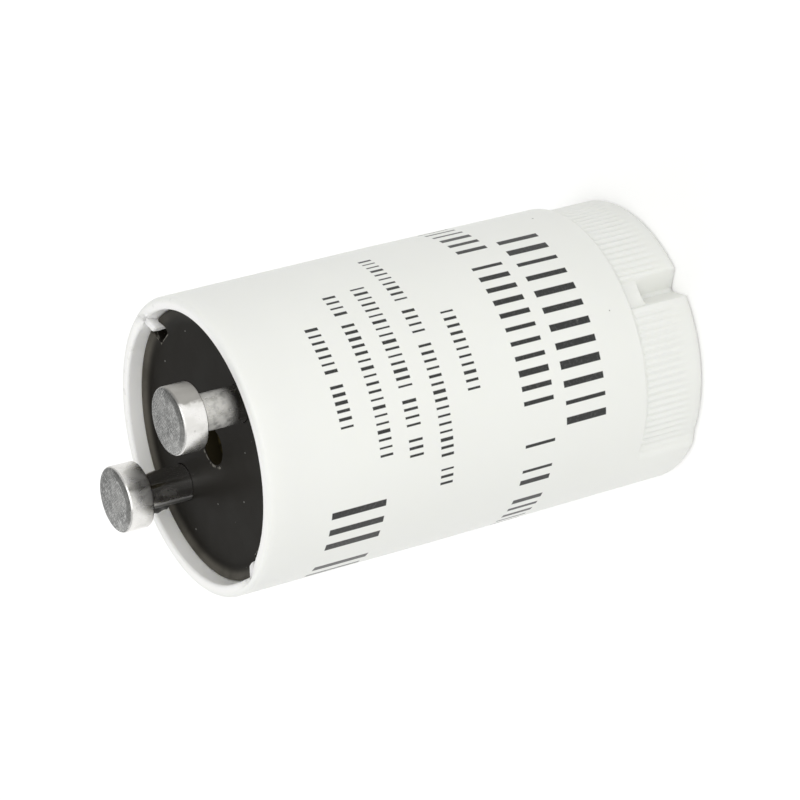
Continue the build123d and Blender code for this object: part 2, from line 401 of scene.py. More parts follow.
@dataclass(frozen=True)
class CanPlastic:
    """Satin off-white plastic of the can, with its generic print, and painted light that makes its
    inner wall lighter than its outer skin.
    """

    colour: Colour = (0.835, 0.843, 0.808)
    # Lighter colour of the inner wall and rim: painted light.
    painted_inner_light: Colour = (0.93, 0.925, 0.9)
    soil: Colour = (0.2, 0.19, 0.17)
    ink: Colour = (0.014, 0.015, 0.014)
    thin_ink: Colour = (0.045, 0.047, 0.045)
    roughness: float = 0.42
    radius: float = 10.6
    worn_angle: float = 115.0
    inner_levels: Pair = (31.0, 32.0)
    rim_levels: Pair = (35.5, 35.8)
    inner_depths: Pair = (-0.1, -0.45)
    outer_depth: float = 0.3
    ink_cover: Pair = (0.85, 1.0)
    ink_gloss: float = 0.06
    soil_cover: float = 0.75
    worn_turn: Pair = (0.1, 0.9)
    worn_shares: Pair = (0.15, 1.0)
    scuff_shade: float = 0.13
    tones: Pair = (0.98, 1.02)
    sheen_spread: float = 0.05
    bump: Pair = (0.25, 0.01)
    milky_depth: float = 0.0012
    rows: tuple[PrintRow, ...] = (
        PrintRow(8.7, 12.0, -50.0, 37.0, 1.3, 0.46, 3.0),
        PrintRow(12.95, 15.4, -107.0, 65.0, 1.05, 0.38, 11.0),
        PrintRow(18.6, 19.6, -26.0, 11.0, 0.55, 0.2, 23.0),
        PrintRow(21.3, 22.3, -60.0, 45.0, 0.55, 0.2, 31.0),
        PrintRow(23.7, 24.8, -45.0, 28.0, 0.55, 0.2, 47.0),
        PrintRow(26.1, 27.1, -42.0, 27.0, 0.55, 0.2, 59.0),
        PrintRow(28.8, 29.8, -28.0, 14.0, 0.55, 0.2, 71.0),
        PrintRow(26.6, 30.9, -104.0, -56.0, 1.5, 0.55, 83.0),
    )
    marks: tuple[tuple[float, float, float], ...] = (
        (-9.0, 6.92, 0.07),
        (47.2, 7.43, 0.1),
        (-52.0, 1.1, 0.06),
    )
    ink_wear: Grain = Grain(2.2, 4.0, 2.0, start=0.2, full=0.34)
    ink_mottle: Grain = Grain(5.0, 4.0, 7.0, start=0.45, full=0.75)
    scuffs: Grain = Grain(2.4, 5.0, 21.0, start=0.56, full=0.7)
    clouds: Grain = Grain(0.12)
    sheen: Grain = Grain(3.0, 3.0, 9.0)
    fine_skin: Grain = Grain(9.0, 3.0, 4.0)
    broad_skin: Grain = Grain(1.2, 2.0, 8.0)
    dirt: Dots = Dots(0.45, 0.035, 0.1, 5.0)

    def material(self) -> bpy.types.Material:
        """Builds the material.

        Returns:
            The material.
        """
        graph = Graph("can_plastic")
        x, y, z = graph.axes()
        angle = graph.math("ARCTAN2", y, x) * math.degrees(1.0)
        distance = graph.length(x, y)
        outer = distance > self.radius - self.outer_depth
        ink = self.rows[0].mask(graph, angle, z, self.radius)
        for row in self.rows[1:]:
            ink = ink + row.mask(graph, angle, z, self.radius)
        printed = ink * outer * self.ink_wear.patches(graph).spread(*self.ink_cover)
        dirt = self.dirt.mask(graph)
        arc = math.radians(1.0) * self.radius
        for turn_angle, height, size in self.marks:
            across, up = (angle - turn_angle) * arc, z - height
            dirt = dirt + graph.spot(across, up, size, 0.5) * outer
        from_worn = graph.math("COSINE", (angle - self.worn_angle) * math.radians(1.0))
        handled = from_worn.rise(*self.worn_turn).spread(*self.worn_shares)
        scuff = self.scuffs.patches(graph) * z.rise(*self.rim_levels) * handled
        # Painted light: inner surfaces above the ledge get the lighter colour.
        within = distance.rise(*self.inner_depths, self.radius) * z.rise(*self.inner_levels)
        plastic_with_painted_light = graph.mix(within, self.colour, self.painted_inner_light)
        tone = self.clouds.noise(graph).spread(*self.tones) - scuff * self.scuff_shade
        plastic = graph.mix(dirt * self.soil_cover, graph.shade(plastic_with_painted_light, tone), self.soil)
        pigment = graph.mix(self.ink_mottle.patches(graph), self.ink, self.thin_ink)
        sheens = self.roughness - self.sheen_spread, self.roughness + self.sheen_spread
        skin = self.fine_skin.noise(graph) * 0.4 + self.broad_skin.noise(graph) + scuff * 0.8
        return graph.finish(
            Base_Color=graph.mix(printed, plastic, pigment),
            Roughness=self.sheen.noise(graph).spread(*sheens) - ink * self.ink_gloss,
            Specular_IOR_Level=0.42,
            Subsurface_Weight=0.45,
            Subsurface_Radius=(1.0, 1.0, 0.9),
            Subsurface_Scale=self.milky_depth,
            Normal=graph.bump(skin, *self.bump),
        )


@dataclass(frozen=True)
class PlatePlastic:
    """Black moulded plastic of the base plate, dusty, with scuffed edges at its holes and a painted
    sheen on its border.

    Levels are counted from the plate's face.
    """

    colour: Colour = (0.0105, 0.009, 0.0068)
    film: Colour = (0.015, 0.0145, 0.012)
    # Lighter grey of the border's slope: painted reflection, in patches, strongest towards -X.
    border: Colour = (0.1, 0.093, 0.078)
    dust: Colour = (0.42, 0.42, 0.4)
    scuff: Colour = (0.2, 0.19, 0.165)
    bore: Colour = (0.13, 0.105, 0.04)
    roughness: float = 0.34
    sheen_spread: float = 0.07
    dust_roughness: float = 0.3
    film_cover: float = 0.55
    faint_cover: float = 0.4
    cover: float = 0.8
    # Patches of the painted border sheen, and how it fades from -X to +X.
    rubbed_shares: Pair = (0.65, 1.0)
    painted_sheen_places: Pair = (4.0, -4.0)
    painted_sheen_least: Pair = (0.25, 1.0)
    border_levels: Pair = (0.02, 0.24)
    worn_start: Pair = (-0.12, -0.02)
    worn_end: Pair = (0.3, 0.1)
    hole_band: Pair = (0.14, 0.05)
    hole_ragged: Pair = (0.34, 0.02)
    hole_side: float = 0.5
    key_band: Pair = (0.06, 0.02)
    key_ragged: Pair = (0.14, 0.04)
    key_reach: float = 0.25
    bore_edge: Pair = (0.1, 0.04)
    bore_deep: Pair = (-1.05, -1.3)
    bore_mouth: Pair = (-0.02, -0.1)
    bore_shares: Pair = (0.88, 0.12)
    bump: Pair = (0.2, 0.01)
    grit: tuple[tuple[float, float, float], ...] = (
        (-1.57, 7.38, 0.07),
        (5.63, 6.53, 0.08),
        (-7.59, -3.2, 0.07),
        (3.16, 7.34, 0.06),
        (6.95, 3.4, 0.07),
        (4.19, -2.8, 0.06),
        (-2.77, -3.47, 0.06),
        (1.08, -5.14, 0.07),
    )
    ragged: Grain = Grain(1.6, 3.0, 3.0)
    chips: Grain = Grain(3.0, 3.0, 6.0, start=0.42, full=0.58)
    clouds: Grain = Grain(0.35, 3.0, 12.0, start=0.42, full=0.7)
    rubbing: Grain = Grain(0.5, 3.0, 17.0, start=0.3, full=0.6)
    bore_wear: Grain = Grain(1.1, 3.0, 18.0, start=0.2, full=0.45)
    sheen: Grain = Grain(0.8, 4.0, 14.0)
    skin: Grain = Grain(6.0, 3.0, 15.0)
    motes: Dots = Dots(1.1, 0.06, 0.4, 1.0)
    faint_motes: Dots = Dots(2.2, 0.13, 0.1, 2.0)

    def material(self, plate: BasePlate) -> bpy.types.Material:
        """Builds the material.

        Args:
            plate: the plate, for the places of its holes and levels.

        Returns:
            The material.
        """
        graph = Graph("plate_plastic")
        x, y, z = graph.axes()
        face = plate.face
        across = x - plate.hole_x
        hole_gap = graph.length(across, y - plate.hole_y) - plate.hole_radius
        level = z.rise(*self.worn_start, face) * z.rise(*self.worn_end, face)
        worn = self.worn_edges(graph, plate, hole_gap) * level * self.chips.patches(graph)
        dust = self.motes.mask(graph) + self.faint_motes.mask(graph) * self.faint_cover
        for grit_x, grit_y, size in self.grit:
            dust = dust + graph.spot(x - grit_x, y - grit_y, size, 0.4)
        # Painted reflection on the border's slope, patchy and strongest towards -X.
        rubbed_and_painted_sheen = self.rubbing.patches(graph).spread(*self.rubbed_shares)
        rubbed_and_painted_sheen = rubbed_and_painted_sheen * x.rise(*self.painted_sheen_places).spread(*self.painted_sheen_least)
        deep, mouth = self.bore_shares
        depth = z.rise(*self.bore_deep, face) * deep + z.rise(*self.bore_mouth, face) * mouth
        inside = hole_gap.rise(*self.bore_edge) * depth
        sheens = self.roughness - self.sheen_spread, self.roughness + self.sheen_spread
        return graph.finish(
            Base_Color=graph.coats(
                self.colour,
                (self.clouds.patches(graph) * self.film_cover, self.film),
                (z.rise(*self.border_levels, face) * rubbed_and_painted_sheen, self.border),
                (inside * self.bore_wear.patches(graph), self.bore),
                (dust * self.cover, self.dust),
                (worn * self.cover, self.scuff),
            ),
            Roughness=self.sheen.noise(graph).spread(*sheens) + dust * self.dust_roughness,
            Specular_IOR_Level=0.035,
            Normal=graph.bump(self.skin.noise(graph) + dust * 0.5, *self.bump),
        )

    def worn_edges(self, graph: Graph, plate: BasePlate, hole_gap: Value) -> Value:
        """Ragged bands along the edges of the middle hole and the keyways.

        Args:
            graph: the material's tree.
            plate: the plate, for the places of its holes.
            hole_gap: distance from the edge of the middle hole.

        Returns:
            Mask of the bands, at any height.
        """
        x, y, _ = graph.axes()
        ragged = self.ragged.noise(graph)
        wide, out = self.hole_ragged
        hole_edge = abs(hole_gap - ragged * wide + out).rise(*self.hole_band)
        key_end = plate.radius - plate.key_length
        turned = x * graph.math("SIGN", y) + plate.key_shift
        key_gap = graph.math("MAXIMUM", abs(turned) - plate.key_width / 2, key_end - abs(y))
        wide, out = self.key_ragged
        key_edge = abs(key_gap - ragged * wide + out).rise(*self.key_band)
        near_hole = x - plate.hole_x < self.hole_side
        return hole_edge * near_hole + key_edge * (abs(y) > key_end - self.key_reach)


@dataclass(frozen=True)
class PinMetal:
    """Plated metal of a pin: bright turned sides and a scratched, duller face.

    The shares of the painted dark reflection on the head, the painted pale reflection on the neck
    and the painted shade on the neck are the left pin's and the right pin's.
    """

    metal: Metal = Metal.NICKEL
    face_colour: Colour = (0.165, 0.167, 0.162)
    swirl_colour: Colour = (0.3, 0.3, 0.29)
    scratch_colour: Colour = (0.55, 0.55, 0.54)
    pit_colour: Colour = (0.12, 0.12, 0.11)
    # Painted dark reflection along the face's near edge.
    painted_edge_reflection_colour: Colour = (0.07, 0.07, 0.066)
    spot_colour: Colour = (0.26, 0.25, 0.22)
    stain_colour: Colour = (0.4, 0.39, 0.35)
    # Painted dark reflection on the head's +Y side.
    painted_reflection_colour: Colour = (0.3, 0.29, 0.27)
    # Pale colour of the right neck towards the head: painted reflection.
    painted_neck_light_colour: Colour = (0.8, 0.79, 0.75)
    # Dark colour of the left neck's side towards the flake: painted shade.
    painted_neck_shade_colour: Colour = (0.085, 0.085, 0.08)
    seed_step: float = 3.0
    face_levels: Pair = (-0.12, -0.06)
    neck_levels: Pair = (-0.08, -0.18)
    scratch_band: Pair = (1.0, 1.2)
    face_roughness: Pair = (0.26, 0.38)
    ring: Pair = (1.72, 2.24)
    ring_edges: Pair = (0.18, 0.1)
    near_way: Pair = (0.94, 0.34)
    near_band: Pair = (0.3, 1.5)
    # Way and band of the painted shade on the neck, towards the flake.
    painted_neck_shade_way: Pair = (-0.47, 0.88)
    painted_neck_shade_band: Pair = (0.8, 1.1)
    # Ragged edge and band of the painted dark reflection on the head.
    painted_reflection_ragged: Pair = (1.6, 0.8)
    painted_reflection_band: Pair = (-0.35, 0.1)
    painted_neck_light_shares: Pair = (0.5, 1.0)
    bump: Pair = (0.35, 0.015)
    # Level above which the painted pale reflection on the neck grows, and its rise.
    painted_neck_light_level: float = 35.1
    painted_neck_light_rise: float = 1.3
    # Left and right shares of the painted dark reflection on the head, of the painted pale
    # reflection on the neck and of the painted shade on the neck.
    tarnish: Pair = (0.15, 0.9)
    painted_neck_light: Pair = (0.0, 0.78)
    painted_neck_shade: Pair = (1.0, 0.0)
    lines_along: Grain = Grain(2.2, 4.0, 1.0, (7.0, 1.2, 1.0))
    lines_across: Grain = Grain(2.2, 4.0, 2.0, (1.0, 8.0, 1.0))
    swirls: Grain = Grain(1.0, 5.0, 7.0, start=0.35, full=0.65)
    pits: Grain = Grain(3.4, 4.0, 3.0, start=0.6, full=0.72)
    stains: Grain = Grain(0.9, 3.0, 4.0, (1.0, 1.0, 0.6), 0.46, 0.66)
    grind: Grain = Grain(4.0, 2.0, 5.0, (1.0, 1.0, 0.12))
    waves: Grain = Grain(1.1, 2.0, 6.0)
    # Ragged edge of the painted dark reflection on the head.
    painted_reflection_edge: Grain = Grain(1.7, 5.0, 8.0)
    # Patches of the painted pale reflection on the neck.
    painted_neck_light_patches: Grain = Grain(2.4, 4.0, 9.0, start=0.3, full=0.6)

    def material(self, pin: ContactPin, side: Side) -> bpy.types.Material:
        """Builds the material of one pin.

        Args:
            pin: the pin, for its levels and place.
            side: the pin's side; the right one has a painted dark reflection on the upper half of
                its head and a painted pale reflection on its neck, the left one a painted shade on
                one side of its neck.

        Returns:
            The material.
        """
        graph = Graph("pin_metal_" + side.name.lower())
        shift = float(side.value) * self.seed_step
        right = int(side is Side.RIGHT)
        x, y, z = graph.axes()
        across = x - side.value * pin.pin_x
        face = z.rise(*self.face_levels, pin.top)
        neck = z.rise(*self.neck_levels, pin.head_foot)
        lines = self.lines_along.noise(graph, shift) + self.lines_across.noise(graph, shift)
        scratches = lines.rise(*self.scratch_band)
        pits = self.pits.patches(graph, shift)
        stain = self.stains.patches(graph, shift)
        grind = self.grind.noise(graph, shift)
        # Painted dark reflection on the head's +Y side, with a ragged edge.
        wide, back = self.painted_reflection_ragged
        broken = y + self.painted_reflection_edge.noise(graph, shift) * wide - back
        tarnish = broken.rise(*self.painted_reflection_band) * (1.0 - neck) * self.tarnish[right]
        # Painted pale reflection on the neck, growing towards the head, in patches; it also lowers
        # the metallic.
        pale = z.rise(0.0, self.painted_neck_light_rise, self.painted_neck_light_level)
        patchy = self.painted_neck_light_patches.patches(graph, shift).spread(*self.painted_neck_light_shares)
        painted_neck_light = neck * pale * patchy * self.painted_neck_light[right]
        # Painted shade on the neck's side towards the flake and on the flake, less metallic and
        # rougher.
        along, down = self.painted_neck_shade_way
        below = across * along - y * down
        painted_neck_shade = neck * below.rise(*self.painted_neck_shade_band) * self.painted_neck_shade[right]
        wall = graph.coats(
            self.metal.value,
            (pits * stain * 0.6, self.spot_colour),
            (stain * 0.25, self.stain_colour),
            (tarnish, self.painted_reflection_colour),
            (painted_neck_light, self.painted_neck_light_colour),
            (painted_neck_shade, self.painted_neck_shade_colour),
        )
        wall_rough = stain * 0.12 + grind * 0.1 + 0.2 - neck * 0.08 + tarnish * 0.1 + painted_neck_shade * 0.3
        wall_skin = grind * 0.6 + self.waves.noise(graph, shift)
        dull = graph.coats(
            self.face_colour,
            (self.swirls.patches(graph, shift), self.swirl_colour),
            (scratches * 0.8, self.scratch_colour),
            (pits * 0.7, self.pit_colour),
            # Painted dark reflection along the face's near edge.
            (self.painted_edge_reflection(graph, across, y) * 0.7, self.painted_edge_reflection_colour),
        )
        skin = face * (scratches - pits) * 0.45 + (1.0 - face) * wall_skin
        return graph.finish(
            Base_Color=graph.mix(face, wall, dull),
            Metallic=1.0 - painted_neck_light - painted_neck_shade * 0.8,
            Roughness=face * scratches.spread(*self.face_roughness) + (1.0 - face) * wall_rough,
            Normal=graph.bump(skin, *self.bump),
        )

    def painted_edge_reflection(self, graph: Graph, across: Value, up: Value) -> Value:
        """Painted dark reflection: a darker ring along the face's edge, on its near side.

        Args:
            graph: the material's tree.
            across: distance from the pin's axis along X.
            up: distance from it along Y.

        Returns:
            Mask of the ring.
        """
        inner, outer = self.ring
        inner_edge, outer_edge = self.ring_edges
        along, down = self.near_way
        radius = graph.length(across, up)
        band = radius.rise(0.0, inner_edge, inner) * radius.rise(outer_edge, 0.0, outer)
        return band * (across * along - up * down).rise(*self.near_band)


@dataclass(frozen=True)
class InnerMetal:
    """Metal of a piece inside the can, rolled or drawn, with a little tarnish."""

    name: str
    metal: Metal
    roughness: float = 0.3
    stretch: Place = (1.0, 1.0, 0.15)
    tarnish: Grain = Grain(0.8, 4.0, start=0.4, full=0.7)

    def material(self) -> bpy.types.Material:
        """Builds the material.

        Returns:
            The material.
        """
        graph = Graph(self.name)
        tarnish = self.tarnish.patches(graph)
        drawn = Grain(9.0, 3.0, 2.0, self.stretch).noise(graph)
        colour = self.metal.value
        dark = tuple(c * 0.55 for c in colour)
        return graph.finish(
            Base_Color=graph.mix(tarnish * 0.5, colour, dark),
            Metallic=1.0,
            Roughness=drawn * 0.2 + tarnish * 0.1 + (self.roughness - 0.1),
            Normal=graph.bump(drawn, 0.3, 0.01),
        )


@dataclass(frozen=True)
class BlownGlass:
    """Clear glass of the bulb, with faint streaks."""

    colour: Colour = (0.93, 0.96, 0.96)
    streaks: Grain = Grain(0.6, stretch=(1.0, 1.0, 0.2))

    def material(self) -> bpy.types.Material:
        """Builds the material.

        Returns:
            The material.
        """
        graph = Graph("blown_glass")
        streaks = self.streaks.noise(graph)
        return graph.finish(
            Base_Color=graph.shade(self.colour, streaks * 0.04 + 0.97),
            Roughness=streaks * 0.05 + 0.01,
            IOR=1.5,
            Transmission_Weight=1.0,
            Normal=graph.bump(streaks, 0.15, 0.05),
        )


@dataclass(frozen=True)
class DippedCoat:
    """Glossy resin coat of the capacitor."""

    colour: Colour = (0.42, 0.12, 0.02)
    thin_colour: Colour = (0.5, 0.17, 0.035)
    clouds: Grain = Grain(0.4, 3.0, start=0.3, full=0.7)
    waves: Grain = Grain(1.1, 2.0, 3.0)

    def material(self) -> bpy.types.Material:
        """Builds the material.

        Returns:
            The material.
        """
        graph = Graph("dipped_coat")
        tone = self.clouds.patches(graph)
        return graph.finish(
            Base_Color=graph.mix(tone, self.colour, self.thin_colour),
            Roughness=tone * 0.1 + 0.16,
            Coat_Weight=0.4,
            Normal=graph.bump(self.waves.noise(graph), 0.3, 0.08),
        )


def rounded(corners: list[Corner], segments: int) -> list[Pair]:
    """Section whose corners are rounded.

    Args:
        corners: radius, height and corner radius of each corner, in order.
        segments: runs of each rounded corner.

    Returns:
        The section's points.
    """
    points: list[Pair] = []
    for index, (r, z, bend) in enumerate(corners):
        if bend <= 0.0:
            points.append((r, z))
            continue
        here = Vector((r, z))
        before = (Vector(corners[index - 1][:2]) - here).normalized()
        after = (Vector(corners[index + 1][:2]) - here).normalized()
        half = before.angle(after) / 2
        reach = bend / math.tan(half)
        start, end = here + before * reach, here + after * reach
        centre = here + (before + after).normalized() * (bend / math.sin(half))
        arm_start, arm_end = start - centre, end - centre
        swing = arm_start.angle(arm_end)
        for step in range(segments + 1):
            share = step / segments
            one = math.sin((1.0 - share) * swing) / math.sin(swing)
            two = math.sin(share * swing) / math.sin(swing)
            point = centre + arm_start * one + arm_end * two
            points.append((point.x, point.y))
    return points


def turn(
    section: list[Pair],
    steps: int,
    centre: Pair = (0.0, 0.0),
) -> bmesh.types.BMesh:
    """Spins a section round an upright axis.

    Args:
        section: radius and height of each point.
        steps: number of steps of the full turn.
        centre: place of the axis.

    Returns:
        The turned shape, closed at its poles.
    """
    bm = bmesh.new()
    verts = [bm.verts.new((centre[0] + r, centre[1], z)) for r, z in section]
    edges = [bm.edges.new(pair) for pair in zip(verts, verts[1:])]
    bmesh.ops.spin(
        bm,
        geom=verts + edges,
        cent=(*centre, 0.0),
        axis=(0.0, 0.0, 1.0),
        dvec=(0.0, 0.0, 0.0),
        angle=math.tau,
        steps=steps,
        use_merge=True,
        use_duplicate=False,
    )
    bmesh.ops.remove_doubles(bm, verts=bm.verts, dist=1e-4)
    bmesh.ops.recalc_face_normals(bm, faces=bm.faces)
    return bm


def block(size: Vector, middle: Vector) -> bmesh.types.BMesh:
    """Upright block.

    Args:
        size: its size along each axis.
        middle: the place of its middle.

    Returns:
        The block's shape.
    """
    bm = bmesh.new()
    bmesh.ops.create_cube(bm, size=1.0)
    bmesh.ops.scale(bm, vec=size, verts=bm.verts)
    bmesh.ops.translate(bm, vec=middle, verts=bm.verts)
    return bm


def round_edges(
    bm: bmesh.types.BMesh,
    edges: list[bmesh.types.BMEdge],
    width: float,
    segments: int,
) -> None:
    """Rounds edges of a shape.

    Args:
        bm: the shape, changed in place.
        edges: the edges.
        width: how far the rounding reaches from each edge.
        segments: runs of the rounding.
    """
    bmesh.ops.bevel(
        bm,
        geom=edges,
        offset=width,
        offset_type="OFFSET",
        segments=segments,
        profile=0.5,
        affect="EDGES",
        material=-1,
    )


def half_turn(bm: bmesh.types.BMesh, way: int) -> bmesh.types.BMesh:
    """Turns a shape round Z to the side where it stands.

    Args:
        bm: the shape, changed in place.
        way: 1 to leave it as it is, and -1 for half a turn.

    Returns:
        The same shape.
    """
    turned = Matrix.Rotation(math.pi * (way < 0), 3, "Z")
    bmesh.ops.rotate(bm, matrix=turned, verts=bm.verts)
    return bm


def join(bm: bmesh.types.BMesh, other: bmesh.types.BMesh) -> None:
    """Adds the other shape's mesh to the first, and frees it.

    Args:
        bm: the shape that grows.
        other: the shape that is added.
    """
    mesh = bpy.data.meshes.new("joined")
    other.to_mesh(mesh)
    other.free()
    bm.from_mesh(mesh)
    bpy.data.meshes.remove(mesh)


def as_object(bm: bmesh.types.BMesh, name: str) -> bpy.types.Object:
    """Scales a shape to metres and makes it an object at the origin.

    Args:
        bm: the shape in millimetres, freed here.
        name: the object's name.

    Returns:
        The object.
    """
    bmesh.ops.scale(bm, vec=(MM, MM, MM), verts=bm.verts)
    mesh = bpy.data.meshes.new(name)
    bm.to_mesh(mesh)
    bm.free()
    piece = bpy.data.objects.new(name, mesh)
    bpy.context.scene.collection.objects.link(piece)
    return piece


def smooth(piece: bpy.types.Object, material: bpy.types.Material, crease: float = 32.0) -> None:
    """Gives a piece its material and smooth shading between its sharp edges.

    Args:
        piece: the object.
        material: its material.
        crease: angle in degrees from which an edge is sharp.
    """
    mesh = piece.data
    mesh.materials.clear()
    mesh.materials.append(material)
    mesh.polygons.foreach_set("use_smooth", [True] * len(mesh.polygons))
    mesh.set_sharp_from_angle(angle=math.radians(crease))
    mesh.update()


def apply_modifiers(piece: bpy.types.Object) -> None:
    """Replaces a piece's mesh by what its modifiers make of it.

    Args:
        piece: the object.
    """
    graph = bpy.context.evaluated_depsgraph_get()
    mesh = bpy.data.meshes.new_from_object(piece.evaluated_get(graph))
    old = piece.data
    piece.modifiers.clear()
    piece.data = mesh
    mesh.name = piece.name
    bpy.data.meshes.remove(old)


def cut(piece: bpy.types.Object, cutter: bmesh.types.BMesh) -> None:
    """Cuts a shape out of a piece.

    Args:
        piece: the object.
        cutter: the shape in millimetres, freed here.
    """
    tool = as_object(cutter, "cutter")
    modifier = piece.modifiers.new("cut", "BOOLEAN")
    modifier.operation = "DIFFERENCE"
    modifier.solver = "EXACT"
    modifier.object = tool
    bpy.context.view_layer.update()
    apply_modifiers(piece)
    bpy.data.objects.remove(tool)


def place_piece(piece: bpy.types.Object, slot: str, *nodes: str) -> None:
    """Puts a finished piece in the place of its solids and reports it.

    Args:
        piece: the object, finished, at the origin.
        slot: not used.
        nodes: the solids that it stands for.
    """
    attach(piece, BODY)
    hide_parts(*nodes)
    faces = len(piece.data.polygons)
    LOG.info("%s stands for %s, with %d faces", piece.name, ", ".join(nodes), faces)


def soft_least(one: float, other: float, bend: float) -> float:
    """Lesser of two values, with the corner between them rounded.

    Args:
        one: the first value.
        other: the second value.
        bend: difference of the values at which the rounding starts.

    Returns:
        The lesser value, or a little less near the corner.
    """
    near = max(bend - abs(one - other), 0.0) / bend
    return min(one, other) - near * near * bend / 4


def smooth_step(value: float, low: float, high: float) -> float:
    """Smooth rise from 0 at low to 1 at high."""
    share = min(max((value - low) / (high - low), 0.0), 1.0)
    return share * share * (3.0 - 2.0 * share)


@dataclass
class Can:
    """Moulded can: barrel, rim with two staked lugs, and ribbed grips with their notches.

    The rows of levels and radii are where the skin has points to bend at.
    """

    height: float = 35.9
    rim_radius: float = 10.71
    draft_top: float = 20.0
    foot_radius: float = 10.55
    bore_radius: float = 9.78
    ledge_level: float = 32.46
    well_radius: float = 9.38
    well_foot_radius: float = 9.2
    well_levels: tuple[float, ...] = (4.36, 4.34)
    floor_level: float = 1.4
    floor_radius: float = 6.0
    floor_round: float = 1.0
    rim_outer_round: float = 0.34
    rim_inner_round: float = 0.2
    end_round: float = 0.55
    end_radii: tuple[float, ...] = (0.0, 3.5, 7.9)
    barrel_levels: tuple[float, ...] = (12.0, 20.0, 28.0)
    bore_levels: tuple[float, ...] = (35.56, 35.42, 35.28, 35.14, 35.0, 34.86, 34.7, 34.5, 34.2)
    grip_height: float = 5.05
    grip_levels: tuple[float, ...] = (
        *(0.62, 0.85, 1.1, 1.35, 1.6, 1.85, 2.1, 2.35, 3.3, 3.38),
        *(3.45, 3.52, 3.6, 4.3, 4.62, 4.78, 4.88, 4.95, 5.01, 5.04),
    )
    grip_radius: float = 10.22
    grips: tuple[Pair, ...] = ((-77.0, 88.0), (103.0, 247.0))
    shoulder_round: float = 0.32
    end_blend: float = 7.0
    rib_pitch: float = 3.0
    rib_shift: float = 0.3
    rib_depth: float = 0.13
    rib_start: float = 0.8
    rib_fade: float = 1.5
    rib_end: float = 4.9
    rib_close: float = 0.12
    rib_gap: Pair = (0.2, 0.35)
    rib_ends: Pair = (0.6, 1.4)
    corner_height: float = 0.06
    corner_slope: float = 1.2
    notch_angle: float = -4.0
    notch_half_width: float = 1.15
    notch_floor_half: float = 0.15
    notch_depth: float = 1.5
    notch_height: float = 3.45
    notch_step: float = 0.13
    notch_clear: float = 0.3
    notch_blend: float = 0.1
    shelf_flank: Pair = (-0.14, 0.1)
    shelf_depth: float = 0.35
    back_wall: float = 0.9
    lug_width: float = 0.7
    lug_side: float = 0.6
    lug_tip: float = 9.1
    lug_foot: float = 33.86
    lug_top: float = 35.62
    lug_slope: float = 0.42
    lug_round: float = 0.14
    lug_rough: Pair = (0.035, 0.012)
    dent_level: float = 34.9
    dent_angle: float = 88.0
    dent_spread: float = 8.0
    dent_reach: Pair = (0.1, 0.65)
    dent_depth: Pair = (0.3, 0.12)
    dent_push: Pair = (0.2, 0.08)
    edge_rough: Pair = (0.009, 0.004)
    steps: int = 720
    skin_limit: float = 9.8
    plain_radius: float = 8.0

    def barrel(self, z: float) -> float:
        """Plain outer radius at a height."""
        share = min(z / self.draft_top, 1.0)
        return self.foot_radius + (self.rim_radius - self.foot_radius) * share

    def section(self) -> list[Pair]:
        """Section of the plain can, from the middle of its end face to its inner floor.

        Returns:
            Radius and height of each point.
        """
        grip, rise = self.grip_height, self.shoulder_round
        shoulder = [grip + rise * s for s in (0.0, 0.12, 0.35, 0.65, 1.0)]
        levels = [*self.grip_levels, *shoulder, *self.barrel_levels]
        corners = [(r, 0.0, 0.0) for r in self.end_radii]
        corners.append((self.foot_radius, 0.0, self.end_round))
        corners += [(self.barrel(z), z, 0.0) for z in levels]
        corners += [
            (self.rim_radius, self.height, self.rim_outer_round),
            (self.bore_radius, self.height, self.rim_inner_round),
            *((self.bore_radius, z, 0.0) for z in self.bore_levels),
            (self.bore_radius, self.ledge_level, 0.0),
            (self.well_radius, self.ledge_level, 0.0),
            *((self.well_foot_radius, z, 0.0) for z in self.well_levels),
            (self.well_foot_radius, self.floor_level, self.floor_round),
            (self.floor_radius, self.floor_level, 0.0),
            (0.0, self.floor_level, 0.0),
        ]
        return rounded(corners, 7)

    def rib(self, turn_angle: float, z: float) -> float:
        """How far the ribs' grooves reach in.

        Args:
            turn_angle: degrees round the can.
            z: height.

        Returns:
            The depth.
        """
        wave = 0.5 - 0.5 * math.cos(math.tau * (turn_angle + self.rib_shift) / self.rib_pitch)
        start = smooth_step(z, self.rib_start, self.rib_start + self.rib_fade)
        end = min(max((self.rib_end - z) / self.rib_close, 0.0), 1.0)
        return self.rib_depth * wave * start * end

    def into_grip(self, turn_angle: float) -> float:
        """Degrees from an angle to the nearer end of its grip, less than 0 on a land."""
        along = [((turn_angle - start) % 360.0, end - start) for start, end in self.grips]
        return max(min(way, span - way) for way, span in along)

    def from_notch(self, turn_angle: float) -> float:
        """Angle from the middle of the nearer notch, in radians."""
        return math.radians((turn_angle - self.notch_angle + 90.0) % 180.0 - 90.0)

